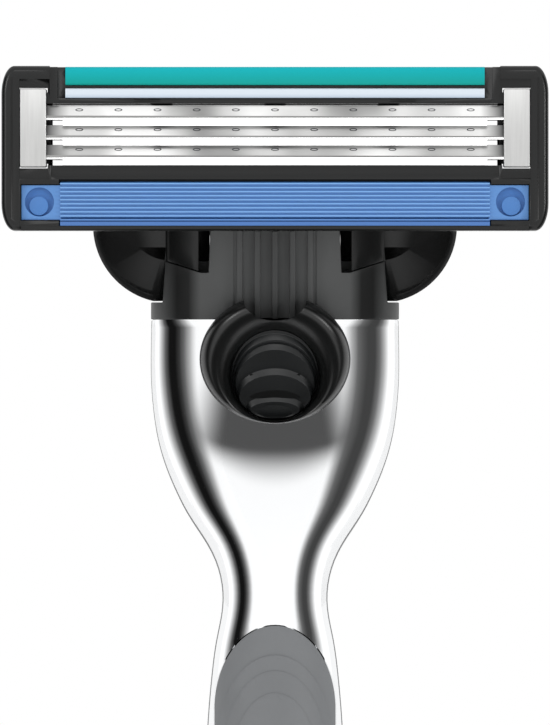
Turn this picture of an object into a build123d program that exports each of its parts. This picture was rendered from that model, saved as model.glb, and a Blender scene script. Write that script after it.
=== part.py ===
from build123d import *

import os
from math import cos, pi, radians, sin, sqrt, tan

# A cartridge razor: a chrome handle with a sliding release button, a yoke that clips on the
# handle's tongue, and a pivoting cartridge with three floating blades.
# Millimetres. +X is to the right, -Y is the shaving side, +Z runs up the handle to the head.
# The origin is the centre of the handle's waist, where a stand's fork holds the razor.

os.makedirs("parts", exist_ok=True)

# --- Driving dimensions ---------------------------------------------------------------------

# Handle: height, half width and half depth of its oval sections, from the butt up.
STATIONS = [
    (-96.0, 5.1, 4.3),
    (-84.0, 6.1, 5.2),
    (-66.0, 6.55, 5.6),
    (-44.0, 6.4, 5.6),
    (-24.0, 5.8, 5.2),
    (-10.0, 5.25, 4.7),
    (-4.0, 4.7, 4.45),
    (0.0, 4.03, 4.4),
    (3.2, 4.7, 4.5),
    (6.8, 6.93, 4.75),
    (11.3, 8.79, 5.0),
    (16.0, 9.5, 5.08),
    (21.5, 9.5, 5.08),
]
BUTT_Z = -96.0
CAP_LENGTH = 6.3
SHELL_TOP_Z = 21.5
SHELL_WALL = 1.3
GRIP_DEPTH = 0.9
GRIP_BULGE = 3.0
SECTION_STEP = 2.5
# Grip inlays: half width, apex height, height of the foot and rise of the arch.
FRONT_ARCH = (4.75, -1.95, -82.0, 6.5)
BACK_ARCH = (3.9, -14.0, -82.0, 4.6)
NECK_LEAN = 25.0
BEND_RADIUS = 45.0
BEND_LOW_Z = -8.0

# Head of the handle, along the leaning neck: s is up the neck, n is out of its front face.
TONGUE_HALF_WIDTH = 4.9
TONGUE_BACK_N = -2.6
TONGUE_STEP_N = 2.3
TONGUE_TOP_S = 22.5
BORE_RADIUS = 1.4
TUBE_RADIUS = 2.3
RIB_PITCH = 1.35
RIB_WIDTH = 0.45
RIB_HEIGHT = 0.35
COLLAR_TOP = 22.8
COLLAR_HALF_WIDTH = 8.6
PANEL_TOP_S = 21.1
CAVITY_TOP_S = 15.3
SLIDE_GAP = 0.1

# Release button, its stem through the shell and the ejector under it.
BUTTON_FACE_N = 6.8
BUTTON_FLOOR_N = 5.1
STEM_HALF_WIDTH = 1.9
STEM_S = (7.4, 9.4)
STEM_N = 3.2
RELEASE_TRAVEL = 4.0
SLIDE_N = (2.45, 2.95)
EJECTOR_LOW_S = 6.5
EJECTOR_TOP_S = 11.0
EJECTOR_WEB_S = 8.5
ARM_X = (5.0, 5.9)
ARM_N = (-1.0, 1.6)
FOOT_X = 7.0
FOOT_S = (16.7, 17.2)
ARM_GAP = 0.15

# Wings of the yoke
WING_INNER_X = 8.1
WING_N = (-0.8, 1.2)

# Plunger
PIN_LOW_S = 14.2
SPRING_LOW_S = 7.2

# Cartridge
CART_WIDTH = 41.5
CART_HEIGHT = 12.5
CART_TOP = 40.7
CART_BOTTOM = CART_TOP - CART_HEIGHT
FACE_Y = -24.5
BODY_DEPTH = 5.1
BLADE_COUNT = 3
BLADE_PITCH = 1.5
BLADE_TILT = 21.0
BLADE_THICK = 0.12
SUPPORT_THICK = 0.2
FIN_COUNT = 10
FIN_PITCH = 0.305

# Pivot of the cartridge on the yoke
PIVOT_Y = -17.6
PIVOT_Z = 31.5
PIVOT_RADIUS = 1.1
PIVOT_CLEARANCE = 0.05
PIVOT_DEGREES = 44.0
CAM_ARM = 4.0


# --- Helpers --------------------------------------------------------------------------------


def block(x, y, z):
    """A box between three pairs of limits."""
    size = Box(x[1] - x[0], y[1] - y[0], z[1] - z[0])
    return Pos((x[0] + x[1]) / 2, (y[0] + y[1]) / 2, (z[0] + z[1]) / 2) * size


def both_sides(shape):
    """A shape and its mirror image across the razor's middle plane."""
    return shape + mirror(shape, about=Plane.YZ)


def front_prism(sketch):
    """A front-view outline (x, z) pushed through the whole depth of the razor."""
    return extrude(Plane.XZ * sketch, amount=60, both=True)


def side_prism(sketch, x):
    """A side-view outline (y, z) between two x limits."""
    return Pos(x[0], 0, 0) * extrude(Plane.YZ * sketch, amount=x[1] - x[0])


def outline(*points):
    """A closed straight-sided outline."""
    return make_face(Polyline(*points, close=True))


def centre_y(z):
    """Depth of the handle's centre line at a height."""
    bend_top = BEND_LOW_Z + BEND_RADIUS * sin(radians(NECK_LEAN))
    if z > bend_top:
        lean_start = -BEND_RADIUS * (1 - cos(radians(NECK_LEAN)))
        return lean_start - (z - bend_top) * tan(radians(NECK_LEAN))
    if z > BEND_LOW_Z:
        return sqrt(BEND_RADIUS**2 - (z - BEND_LOW_Z) ** 2) - BEND_RADIUS
    share = (BEND_LOW_Z - z) / (BEND_LOW_Z - BUTT_Z)
    return GRIP_BULGE * (1 - cos(2 * pi * share)) / 2


NECK_Z = BEND_LOW_Z + BEND_RADIUS * sin(radians(NECK_LEAN))
NECK_UP = (0, -sin(radians(NECK_LEAN)), cos(radians(NECK_LEAN)))
NECK = Plane(origin=(0, centre_y(NECK_Z), NECK_Z), x_dir=(1, 0, 0), z_dir=NECK_UP)


def neck_block(x, n, s):
    """A box in the neck's own frame."""
    return NECK.location * block(x, (-n[1], -n[0]), s)


def neck_rod(radius, s, n=0.0):
    """A round rod along the neck."""
    return NECK.location * Pos(0, -n, (s[0] + s[1]) / 2) * Cylinder(radius, s[1] - s[0])


def depth(d0, d1):
    """Limits of depth behind the cartridge's face."""
    return (FACE_Y + d0, FACE_Y + d1)


def from_top(d0, d1):
    """Heights measured down from the cartridge's top edge."""
    return (CART_TOP - d1, CART_TOP - d0)


# --- Handle ---------------------------------------------------------------------------------


def section_size(z):
    """Half width and half depth at a height, eased between the stations."""
    last = len(STATIONS) - 2
    step = max(i for i in range(last + 1) if STATIONS[i][0] <= z)
    before, low, high = STATIONS[max(step - 1, 0)], STATIONS[step], STATIONS[step + 1]
    after = STATIONS[min(step + 2, last + 1)]
    run = high[0] - low[0]
    t = (z - low[0]) / run
    sizes = []
    for axis in (1, 2):
        rise_low = (high[axis] - before[axis]) / (high[0] - before[0]) * run
        rise_high = (after[axis] - low[axis]) / (after[0] - low[0]) * run
        sizes.append(
            low[axis] * (2 * t**3 - 3 * t**2 + 1)
            + rise_low * (t**3 - 2 * t**2 + t)
            + high[axis] * (3 * t**2 - 2 * t**3)
            + rise_high * (t**3 - t**2)
        )
    return sizes


def handle_form(shrink):
    """The handle's outer form, or the same form made smaller all round."""
    ovals = []
    count = round((SHELL_TOP_Z - BUTT_Z) / SECTION_STEP)
    for place in range(count + 1):
        z = BUTT_Z + (SHELL_TOP_Z - BUTT_Z) * place / count
        wide, deep = section_size(z)
        ovals.append(Plane(origin=(0, centre_y(z), z)) * Ellipse(wide - shrink, deep - shrink))
    return loft(ovals, ruled=True)


def head_form():
    """The oval neck carried on straight past the top of the shells."""
    top_z = 36.0
    wide, deep = STATIONS[-1][1:]
    ovals = [
        Plane(origin=(0, centre_y(z), z)) * Ellipse(wide, deep)
        for z in (SHELL_TOP_Z, top_z)
    ]
    return loft(ovals)


def front_half():
    """Everything in front of the handle's parting surface."""
    heights = [-110.0, -96.0, -80.0, -60.0, -40.0, -24.0, -8.0, 2.0, 12.0, 24.0]
    line = [(centre_y(max(z, BUTT_Z)), z) for z in heights]
    edge = Spline(*line)
    far = Polyline(line[-1], (-40, line[-1][1]), (-40, line[0][1]), line[0])
    return side_prism(make_face(edge + far), (-15, 15))


def arch_outline(half_width, apex_z, low_z, rise):
    """The grip inlay's outline: a rounded arch on a long body with a round foot."""
    side_top = apex_z - rise
    arch = ThreePointArc((-half_width, side_top), (0, apex_z), (half_width, side_top))
    foot = ThreePointArc((half_width, low_z), (0, low_z - half_width), (-half_width, low_z))
    left = Line((-half_width, low_z), (-half_width, side_top))
    right = Line((half_width, side_top), (half_width, low_z))
    return make_face([arch, right, foot, left])


def handle_parts():
    """The two shells, the two grip inlays that fill pockets in them, and the core."""
    form = handle_form(0)
    hollow = handle_form(SHELL_WALL)
    pocket_floor = handle_form(GRIP_DEPTH)
    front = front_half()
    front_arch = front_prism(arch_outline(*FRONT_ARCH))
    back_arch = front_prism(arch_outline(*BACK_ARCH))
    skin = form - pocket_floor
    front_grip = skin & front_arch & front
    back_grip = (skin & back_arch) - front
    slot = neck_block((-2.2, 2.2), (2.0, 6.0), (7.2, 16.0))
    shell_front = (form & front) - hollow - front_grip - slot
    shell_back = (form - front) - hollow - back_grip
    core_limits = block((-12, 12), (-20, 20), (BUTT_Z, 6.0))
    core = handle_form(SHELL_WALL + 0.05) & core_limits
    return shell_front, shell_back, front_grip, back_grip, core


def end_cap():
    """Domed cap with a small flat at its foot."""
    wide, deep = STATIONS[0][1:]
    steps = [0.0, 0.35, 0.7, 0.9, 1.0]
    ovals = []
    for step in steps:
        z = BUTT_Z - CAP_LENGTH * step
        share = sqrt(1 - (0.93 * step) ** 2)
        ovals.append(Plane(origin=(0, 0, z)) * Ellipse(wide * share, deep * share))
    return loft(ovals)


def head_carrier():
    """Black collar on the shells, and the tongue the yoke slides on."""
    body = head_form()
    wide = STATIONS[-1][1] + 0.1
    neck_wide = COLLAR_HALF_WIDTH
    # The seam with the yoke, and the two finger slots beside the ribbed panel.
    right_side = [
        (wide, SHELL_TOP_Z), (wide, COLLAR_TOP), (neck_wide, COLLAR_TOP), (8.36, 25.9),
        (5.71, 25.05), (5.07, 25.05), (4.93, 28.3), (4.93, 34.0),
    ]
    left_side = [(-x, z) for x, z in reversed(right_side)]
    seam = outline(*right_side, *left_side)
    narrow = outline((-neck_wide, 20), (neck_wide, 20), (8.36, 27), (-8.36, 27))
    upper = body & front_prism(seam) & neck_block((-12, 12), (1.8, 6), (5, PANEL_TOP_S))
    lower = body & front_prism(narrow) & neck_block((-8.4, 8.4), (-6, 1.8), (5, 17.3))
    ring = body & block((-12, 12), (-30, 10), (SHELL_TOP_Z, COLLAR_TOP))
    tongue_x = (-TONGUE_HALF_WIDTH, TONGUE_HALF_WIDTH)
    tongue = neck_block(tongue_x, (TONGUE_BACK_N, TONGUE_STEP_N), (17.0, TONGUE_TOP_S))
    face = body & neck_block(tongue_x, (0, 6), (15, PANEL_TOP_S))
    carrier = upper + lower + ring + tongue + face
    # Room for the ejector, its arms and feet, and the button's stem at the end of its travel.
    low_n = ARM_N[0] - ARM_GAP
    inner, outer = TONGUE_HALF_WIDTH + 0.02, ARM_X[1] + ARM_GAP
    carrier -= neck_block((-outer, outer), (low_n, 3.05), (5, CAVITY_TOP_S))
    arm_slot = neck_block((inner, outer), (low_n, ARM_N[1] + ARM_GAP), (15, 24))
    foot_slot = neck_block((inner, FOOT_X + ARM_GAP), (low_n, ARM_N[1] + ARM_GAP), (16.6, 24))
    carrier -= both_sides(arm_slot + foot_slot)
    stem_x = STEM_HALF_WIDTH + ARM_GAP
    stem_top = STEM_S[1] + RELEASE_TRAVEL + 0.2
    carrier -= neck_block((-stem_x, stem_x), (3.0, 6.0), (5, stem_top))
    # Grooves in both sides, in which the wings' inner edges run.
    groove_n = (WING_N[0] - SLIDE_GAP, WING_N[1] + SLIDE_GAP)
    groove = neck_block((WING_INNER_X - SLIDE_GAP, wide), groove_n, (5, 24))
    above_ring = block((-12, 12), (-30, 10), (COLLAR_TOP, 40))
    carrier -= both_sides(groove & above_ring)
    # The plunger's tube and its foot on the core.
    carrier += neck_rod(TUBE_RADIUS, (5.5, 16.0))
    carrier += neck_block((-3.0, 3.0), (-3.2, -1.1), (5.5, 16.0)) & handle_form(SHELL_WALL + 0.05)
    panel = neck_block((-3.15, 3.15), (4.6 - RIB_HEIGHT, 6), (12, PANEL_TOP_S + 0.1))
    ribs = Part()
    for place in range(-2, 3):
        middle = place * RIB_PITCH
        rib_x = (middle - RIB_WIDTH / 2, middle + RIB_WIDTH / 2)
        ribs += neck_block(rib_x, (3, 6), (12, PANEL_TOP_S + 0.1))
    carrier -= panel - ribs
    carrier -= neck_rod(BORE_RADIUS, (7.0, 24.0))
    return carrier


# --- Release button and ejector ---------------------------------------------------------------


def button_outline():
    """Egg-shaped rim, taller above its middle than below it."""
    wide, high, low, middle = 5.77, 5.4, 4.5, 18.0
    top = EllipticalCenterArc((0, middle), wide, high, 0, arc_size=180)
    bottom = EllipticalCenterArc((0, middle), wide, low, 180, arc_size=180)
    return make_face([top, bottom])


def release_button():
    """Dished ring with a notch at its top, a floor and the stem through the slot."""
    ring = front_prism(button_outline()) & neck_block((-8, 8), (3.0, BUTTON_FACE_N), (2, 20))
    notch = front_prism(Pos(0, 22.9) * Ellipse(2.37, 1.5))
    opening = front_prism(Pos(0, 17.2) * Ellipse(3.37, 3.5))
    dish = opening & neck_block((-8, 8), (BUTTON_FLOOR_N, 9), (2, 20))
    cone = NECK.location * Pos(0, -8.4, 10.2) * Rot(90, 0, 0) * Cone(5.6, 3.2, 3.4)
    clear = 0.14
    wide, deep = STATIONS[-1][1:]
    over = loft(
        [
            Plane(origin=(0, centre_y(z), z)) * Ellipse(wide + clear, deep + clear)
            for z in (11.0, 30.0)
        ]
    )
    ring = ring - notch - dish - cone - over
    stem = neck_block((-STEM_HALF_WIDTH, STEM_HALF_WIDTH), (STEM_N, 5.0), STEM_S)
    return ring + stem


def button_pad():
    """Stepped thumb pad on the button's floor."""
    face, drop = 5.75, 0.15
    wide, high = 3.2, 3.3
    middle = 17.2
    pad = front_prism(Pos(0, middle) * Ellipse(wide, high))
    pad &= neck_block((-8, 8), (BUTTON_FLOOR_N, face), (2, 20))
    for step in range(1, 4):
        oval = Ellipse(wide - 0.42 * step, high - 0.62 * step)
        layer = front_prism(Pos(0, middle - 0.75 * step) * oval)
        pad -= layer & neck_block((-8, 8), (face - drop * step, 9), (2, 20))
    return pad


def ejector():
    """Slide under the button: a bridge over the plunger's tube and two arms with feet."""
    side_x = (2.6, 3.2)
    low_n = ARM_N[0]
    slide = neck_block((-side_x[1], side_x[1]), SLIDE_N, (EJECTOR_LOW_S, EJECTOR_TOP_S))
    slide += neck_block((-STEM_HALF_WIDTH, STEM_HALF_WIDTH), (SLIDE_N[0], STEM_N), STEM_S)
    side = neck_block(side_x, (low_n, SLIDE_N[1]), (EJECTOR_LOW_S, EJECTOR_TOP_S))
    side += neck_block((side_x[0], ARM_X[1]), (low_n, 0.5), (EJECTOR_LOW_S, EJECTOR_WEB_S))
    side += neck_block(ARM_X, ARM_N, (EJECTOR_LOW_S, FOOT_S[1]))
    side += neck_block((ARM_X[0], FOOT_X), ARM_N, FOOT_S)
    return slide + both_sides(side)


def coil(radius, wire, s, turns, n=0.0, x=0.0):
    """A compression spring along the neck."""
    length = s[1] - s[0]
    path = Helix(length / turns, length, radius)
    section = Plane(origin=path @ 0, z_dir=path % 0) * Circle(wire)
    return NECK.location * Pos(x, -n, s[0]) * sweep(section, path=path)


def button_spring():
    """Two light springs between the ejector's webs and the collar."""
    wire = 0.11
    ends = (EJECTOR_WEB_S + wire + 0.01, CAVITY_TOP_S - wire - 0.01)
    return both_sides(coil(0.6, wire, ends, 8, n=-0.25, x=4.1))


def plunger_spring():
    """The spring in the tube that pushes the plunger up."""
    wire = 0.17
    return coil(0.95, wire, (SPRING_LOW_S, PIN_LOW_S - wire - 0.03), 8)


def plunger():
    """Sprung pin whose flat top carries the cartridge's cam finger."""
    return neck_rod(BORE_RADIUS - 0.05, (PIN_LOW_S, CAM_TOP_S))


# --- Yoke -------------------------------------------------------------------------------------


def interconnect():
    """Yoke: a frame round the tongue, two curved wings and the trunnion arms."""
    body = head_form()
    frame_low = 17.4
    frame_top = 23.2
    half_width = 8.36
    all_x = (-half_width, half_width)
    above_seam = outline((5.85, 25.2), (half_width, 26.0), (half_width, 36.0), (5.85, 36.0))
    shoulder = body & front_prism(above_seam) & neck_block((0, 12), (1.8, 6), (15, frame_top))
    side_x = (TONGUE_HALF_WIDTH + SLIDE_GAP, half_width)
    shoulder += body & neck_block(side_x, (-6, 1.8), (frame_low, frame_top))
    yoke = both_sides(shoulder)
    yoke += body & neck_block(all_x, (-6, TONGUE_BACK_N - SLIDE_GAP), (frame_low, frame_top))
    yoke += body & neck_block(all_x, (TONGUE_STEP_N + SLIDE_GAP, 6), (21.25, frame_top))
    yoke += both_sides(wing())
    return yoke


def wing():
    """One curved wing: a web with a thicker rim, and the arm that ends in the trunnion."""
    radius, rim_width = 5.9, 0.45
    disc = Pos(8.0, 28.65) * Circle(radius)
    inner_disc = Pos(8.0, 28.65) * Circle(radius - rim_width)
    hole = Pos(8.0, 29.4) * Circle(3.4)
    low_z, top_z = COLLAR_TOP + 0.1, 30.65
    right = outline((WING_INNER_X, low_z), (18.0, low_z), (18.0, top_z), (WING_INNER_X, top_z))
    band = front_prism((disc - hole) & right)
    rim = front_prism((disc - inner_disc) & right)
    panel = front_prism(hole & right)
    back_n, web_n = WING_N
    shape = band & neck_block((8, 15), WING_N, (9, 22.3))
    shape += rim & neck_block((9.3, 15), (back_n, 2.0), (9, 22.3))
    shape += panel & neck_block((8, 15), (back_n, 0.0), (9, 22.3))
    shape += neck_block((8.0, 12.5), (back_n, web_n), (18.2, 22.0))
    eye = PIVOT_RADIUS + 0.55
    lean = radians(NECK_LEAN)
    back = (PIVOT_Y + eye * cos(lean), PIVOT_Z + eye * sin(lean))
    fore = (PIVOT_Y - eye * cos(lean), PIVOT_Z - eye * sin(lean))
    arm = outline(neck_point(-0.8, 20.0), neck_point(2.0, 20.0), fore, back, neck_point(-0.8, 22.3))
    arm_x = (12.62, 13.85)
    shape += side_prism(arm, arm_x)
    shape += side_prism(Pos(PIVOT_Y, PIVOT_Z) * Circle(eye), arm_x)
    shape += side_prism(Pos(PIVOT_Y, PIVOT_Z) * Circle(PIVOT_RADIUS), (11.3, 12.7))
    return shape


def neck_point(n, s):
    """Depth and height of a point given in the neck's frame."""
    lean = radians(NECK_LEAN)
    y = centre_y(NECK_Z) - s * sin(lean) - n * cos(lean)
    z = NECK_Z + s * cos(lean) - n * sin(lean)
    return y, z


# The cam finger's tip starts half the travel above the square-on position and ends as far
# below it, so the plunger follows the cartridge at a steady rate.
CAM_START = radians(NECK_LEAN + PIVOT_DEGREES / 2)
CAM_Y = PIVOT_Y + CAM_ARM * cos(CAM_START)
CAM_Z = PIVOT_Z + CAM_ARM * sin(CAM_START)
CAM_RADIUS = 0.7
CAM_GAP = 0.06
CAM_RISE = (CAM_Z - NECK_Z) * cos(radians(NECK_LEAN))
CAM_S = CAM_RISE - (CAM_Y - centre_y(NECK_Z)) * sin(radians(NECK_LEAN))
CAM_TOP_S = CAM_S - CAM_RADIUS - CAM_GAP


# --- Cartridge ----------------------------------------------------------------------------------


def cartridge_outline(inset):
    """Front outline with tall elliptical corners."""
    wide = CART_WIDTH / 2 - inset
    top = CART_TOP - inset
    low = CART_BOTTOM + inset
    across, tall = 1.0, 2.1
    x = wide - across
    corners = [
        EllipticalCenterArc((x, top - tall), across, tall, 0, arc_size=90),
        EllipticalCenterArc((-x, top - tall), across, tall, 90, arc_size=90),
        EllipticalCenterArc((-x, low + tall), across, tall, 180, arc_size=90),
        EllipticalCenterArc((x, low + tall), across, tall, 270, arc_size=90),
    ]
    sides = [
        Line((x, top), (-x, top)),
        Line((-wide, top - tall), (-wide, low + tall)),
        Line((-x, low), (x, low)),
        Line((wide, low + tall), (wide, top - tall)),
    ]
    return make_face(corners + sides)


def housing():
    """Frame of the cartridge, with the blade window, the clips' slots and the pivot ears."""
    body = extrude(Plane.XZ * cartridge_outline(0), amount=BODY_DEPTH + 0.2)
    body = Pos(0, FACE_Y + BODY_DEPTH, 0) * body
    inner = 19.4
    # Front steps of the middle, from the top edge down.
    body -= block((-17.1, 17.1), depth(-1, 7), from_top(-1, 0.08))
    body -= block((-17.1, 17.1), depth(-1, 0.2), from_top(-1, 1.0))
    body -= block((-16.5, 16.5), depth(-1, 1.45), from_top(-1, 2.45))
    body += block((-16.0, 16.0), depth(0.3, 1.5), from_top(1.48, 1.68))
    body -= block((-inner, inner), depth(-1, 0.2), from_top(1.0, 12.12))
    body -= block((-16.4, 16.4), depth(-1, 0.35), from_top(2.4, 2.93))
    slot = block((8.7, 10.7), depth(-1, 0.8), from_top(2.52, 2.72))
    body -= both_sides(slot)
    # Blade window, open to the back, and the seats of the blades' ends.
    body -= block((-16.9, 16.9), depth(-1, 7), from_top(2.93, 7.55))
    body -= block((-18.95, 18.95), depth(-1, 3.4), from_top(2.85, 7.55))
    # Bar below the blades, the pocket of the guard and the lower lip.
    body -= block((-17.0, 17.0), depth(-1, 0.45), from_top(7.55, 7.9))
    body -= block((-17.0, 17.0), depth(-1, 0.6), from_top(7.9, 8.6))
    body -= block((-16.4, 16.4), depth(-1, 1.3), from_top(8.6, 12.14))
    body -= block((-inner + 0.1, inner - 0.1), depth(-1, 1.3), from_top(8.98, 11.74))
    body -= block((-19.3, 19.3), depth(-1, 0.3), from_top(12.12, 13))
    # Recesses and through slots of the clips.
    for side in (-1, 1):
        x = sorted((side * 17.1, side * inner))
        leg_x = sorted((side * 17.25, side * 19.4))
        body -= block(x, depth(-1, 0.45), from_top(1.0, 8.58))
        body -= block(leg_x, depth(-1, 7), from_top(1.63, 2.0))
        body -= block(leg_x, depth(-1, 7), from_top(7.4, 7.77))
        body -= block(leg_x, depth(4.6, 7), from_top(1.63, 7.77))
    # Struts across the open window.
    for middle in (-8.6, 0.0, 8.6):
        body += block((middle - 0.8, middle + 0.8), depth(3.9, BODY_DEPTH), from_top(2.7, 7.8))
    # Ears with the pivot bores.
    radius = PIVOT_RADIUS + 0.85
    back_y = FACE_Y + BODY_DEPTH - 0.3
    ear = outline(
        (back_y, PIVOT_Z - 2.2), (PIVOT_Y, PIVOT_Z - radius),
        (PIVOT_Y, PIVOT_Z + radius), (back_y, PIVOT_Z + 2.0),
    )
    ear_x = (11.25, 12.5)
    ears = side_prism(ear, ear_x) + side_prism(Pos(PIVOT_Y, PIVOT_Z) * Circle(radius), ear_x)
    bore = side_prism(Pos(PIVOT_Y, PIVOT_Z) * Circle(PIVOT_RADIUS + PIVOT_CLEARANCE), (11.0, 13.0))
    body += both_sides(ears)
    body -= both_sides(bore)
    # Cam finger on the middle strut.
    tip = Pos(CAM_Y, CAM_Z) * Circle(CAM_RADIUS)
    slope = outline(
        (back_y, CAM_Z + 2.2), (CAM_Y + 0.1, CAM_Z + CAM_RADIUS),
        (CAM_Y - 0.5, CAM_Z - 0.49), (back_y, CAM_Z - 0.2),
    )
    body += side_prism(tip, (-0.9, 0.9)) + side_prism(slope, (-0.9, 0.9))
    return body


def guard():
    """Elastomer guard: base, fins, flat ledge and the two end pads with round wells."""
    base = block((-16.3, 16.3), depth(0.6, 1.28), from_top(8.8, 12.12))
    for fin in range(FIN_COUNT):
        top = 8.82 + fin * FIN_PITCH
        section = outline(
            (FACE_Y + 0.7, CART_TOP - top), (FACE_Y + 0.05, CART_TOP - top - 0.07),
            (FACE_Y + 0.05, CART_TOP - top - 0.17), (FACE_Y + 0.7, CART_TOP - top - 0.24),
        )
        base += side_prism(section, (-16.3, 16.3))
    base += block((-16.3, 16.3), depth(0.15, 0.7), from_top(11.8, 12.12))
    pad = block((16.2, 19.24), depth(0.35, 1.28), from_top(9.05, 11.69))
    well = Plane.XZ * (Pos(17.87, CART_TOP - 10.32) * Circle(1.1))
    pad -= Pos(0, FACE_Y + 0.75, 0) * extrude(well, amount=2)
    boss = Plane.XZ * (Pos(17.92, CART_TOP - 10.62) * Circle(0.72))
    pad += Pos(0, FACE_Y + 0.8, 0) * extrude(boss, amount=0.35)
    return base + both_sides(pad)


def strip(half_width, tops, depths):
    """A strip with its front edges rounded."""
    bar = block((-half_width, half_width), depth(*depths), from_top(*tops))
    front_edges = bar.edges().filter_by(Axis.X).group_by(Axis.Y)[0]
    return fillet(front_edges, 0.12)


def clip(side):
    """A metal band with two legs through the housing, folded over at the back."""
    thick = 0.22
    x = (17.35, 19.38) if side > 0 else (-19.38, -17.35)
    front = block(x, depth(-0.12, thick - 0.12), from_top(1.73, 7.67))
    upper = block(x, depth(-0.12, 4.95), from_top(1.73, 1.73 + thick))
    lower = block(x, depth(-0.12, 4.95), from_top(7.67 - thick, 7.67))
    tabs = block(x, depth(4.95 - thick, 4.95), from_top(1.73, 3.4))
    tabs += block(x, depth(4.95 - thick, 4.95), from_top(6.0, 7.67))
    return front + upper + lower + tabs


def blade_edge(index):
    """Height of a cutting edge."""
    return CART_TOP - 4.52 - index * BLADE_PITCH + 0.02


def along(edge_z, distance, behind):
    """A point on a blade's section: up the blade from its edge, and behind its face."""
    tilt = radians(BLADE_TILT)
    y = FACE_Y + distance * sin(tilt) + behind * cos(tilt)
    z = edge_z + distance * cos(tilt) - behind * sin(tilt)
    return y, z


def blade(index):
    """Ground strip with its cutting edge at the bottom, and its lower corners cut away."""
    edge = blade_edge(index)
    section = outline(
        along(edge, 0, 0), along(edge, 1.62, 0), along(edge, 1.62, BLADE_THICK),
        along(edge, 0.45, BLADE_THICK), along(edge, 0.2, BLADE_THICK * 0.75),
    )
    strip_body = side_prism(section, (-18.6, 18.6))
    corner = block((16.1, 19.0), depth(-1, 2), (edge - 0.2, edge + 0.46))
    return strip_body - both_sides(corner)


def blade_support(index):
    """Bent strip: a platform behind the blade and a leg into the housing."""
    edge = blade_edge(index)
    near, far = 0.5, 1.5
    back = BLADE_THICK + SUPPORT_THICK
    top_y, top_z = along(edge, far, BLADE_THICK)
    low_y, low_z = along(edge, far - 0.25, back)
    platform = outline(
        along(edge, near, BLADE_THICK), (top_y, top_z), (low_y + 0.2, top_z),
        (low_y + 0.2, low_z), along(edge, near, back),
    )
    leg = block((-18.6, 18.6), depth(0.75, 2.9), (top_z - SUPPORT_THICK, top_z))
    return side_prism(platform, (-18.6, 18.6)) + leg


# --- Write the sub-parts ------------------------------------------------------------------------


def write(node, shape):
    export_step(shape, f"parts/{node}.step")


shell_front, shell_back, front_grip, back_grip, core = handle_parts()
write("handle_front_shell", shell_front)
write("handle_back_shell", shell_back)
write("front_grip", front_grip)
write("back_grip", back_grip)
write("handle_core", core)
write("end_cap", end_cap())
write("head_carrier", head_carrier())
write("release_button", release_button())
write("button_pad", button_pad())
write("ejector", ejector())
write("plunger", plunger())
write("plunger_spring", plunger_spring())
write("button_spring", button_spring())
write("interconnect", interconnect())
write("housing", housing())
write("guard", guard())
write("lubricating_strip", strip(15.9, (0.08, 1.46), (0.0, 1.42)))
write("comfort_strip", strip(15.9, (1.7, 2.43), (0.06, 1.42)))
write("clip_left", clip(-1))
write("clip_right", clip(1))
for index in range(BLADE_COUNT):
    write(f"blade_{index + 1}", blade(index))
    write(f"blade_support_{index + 1}", blade_support(index))
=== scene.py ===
import math

import bmesh
import bpy
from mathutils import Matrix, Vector


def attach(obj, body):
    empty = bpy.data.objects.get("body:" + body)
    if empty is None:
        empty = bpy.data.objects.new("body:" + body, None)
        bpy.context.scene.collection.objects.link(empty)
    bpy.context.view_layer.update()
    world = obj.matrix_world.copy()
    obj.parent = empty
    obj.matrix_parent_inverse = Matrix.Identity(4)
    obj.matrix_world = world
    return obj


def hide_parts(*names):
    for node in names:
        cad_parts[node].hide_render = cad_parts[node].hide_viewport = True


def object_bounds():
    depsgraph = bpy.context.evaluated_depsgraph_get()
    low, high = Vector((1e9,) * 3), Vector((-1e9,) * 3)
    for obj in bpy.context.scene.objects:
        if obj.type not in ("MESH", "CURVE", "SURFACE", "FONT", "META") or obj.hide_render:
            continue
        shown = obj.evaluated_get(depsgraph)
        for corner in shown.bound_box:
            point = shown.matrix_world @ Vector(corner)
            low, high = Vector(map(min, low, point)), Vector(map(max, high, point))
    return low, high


bl_info = {
    "name": "Cartridge Razor",
    "version": (1, 0, 0),
    "blender": (4, 5, 0),
    "location": "3D View > Sidebar > Razor",
    "description": "Builds the pieces and finishes of a cartridge razor round its mechanical frame",
    "category": "Object",
}

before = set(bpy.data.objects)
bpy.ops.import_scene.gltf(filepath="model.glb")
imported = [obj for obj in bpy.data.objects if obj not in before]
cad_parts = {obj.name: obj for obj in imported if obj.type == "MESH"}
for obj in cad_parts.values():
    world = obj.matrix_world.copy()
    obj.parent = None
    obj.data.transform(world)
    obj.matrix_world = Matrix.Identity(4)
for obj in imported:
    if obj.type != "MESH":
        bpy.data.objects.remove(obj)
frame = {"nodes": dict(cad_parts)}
CAD_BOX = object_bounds()
MM = 0.001

# The handle's oval sections in millimetres, from the butt up: height, half width, half depth.
SECTIONS = [
    (-96.0, 5.1, 4.3), (-84.0, 6.1, 5.2), (-66.0, 6.55, 5.6), (-44.0, 6.4, 5.6),
    (-24.0, 5.8, 5.2), (-10.0, 5.25, 4.7), (-4.0, 4.7, 4.45), (0.0, 4.03, 4.4),
    (3.2, 4.7, 4.5), (6.8, 6.93, 4.75), (11.3, 8.79, 5.0), (16.0, 9.5, 5.08), (21.5, 9.5, 5.08),
]
BUTT_Z, COLLAR_Z = -96.0, 21.5
BEND_RADIUS, BEND_LOW_Z, LEAN = 45.0, -8.0, math.radians(25.0)
NECK_Z = BEND_LOW_Z + BEND_RADIUS * math.sin(LEAN)
NECK_Y = -BEND_RADIUS * (1 - math.cos(LEAN))
GRIP_BULGE = 3.0
# Grip inlays: half width, height of the arch's top, height of the foot, rise of the arch.
FRONT_ARCH = (4.75, -1.95, -82.0, 6.5)
BACK_ARCH = (3.9, -14.0, -82.0, 4.6)

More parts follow.
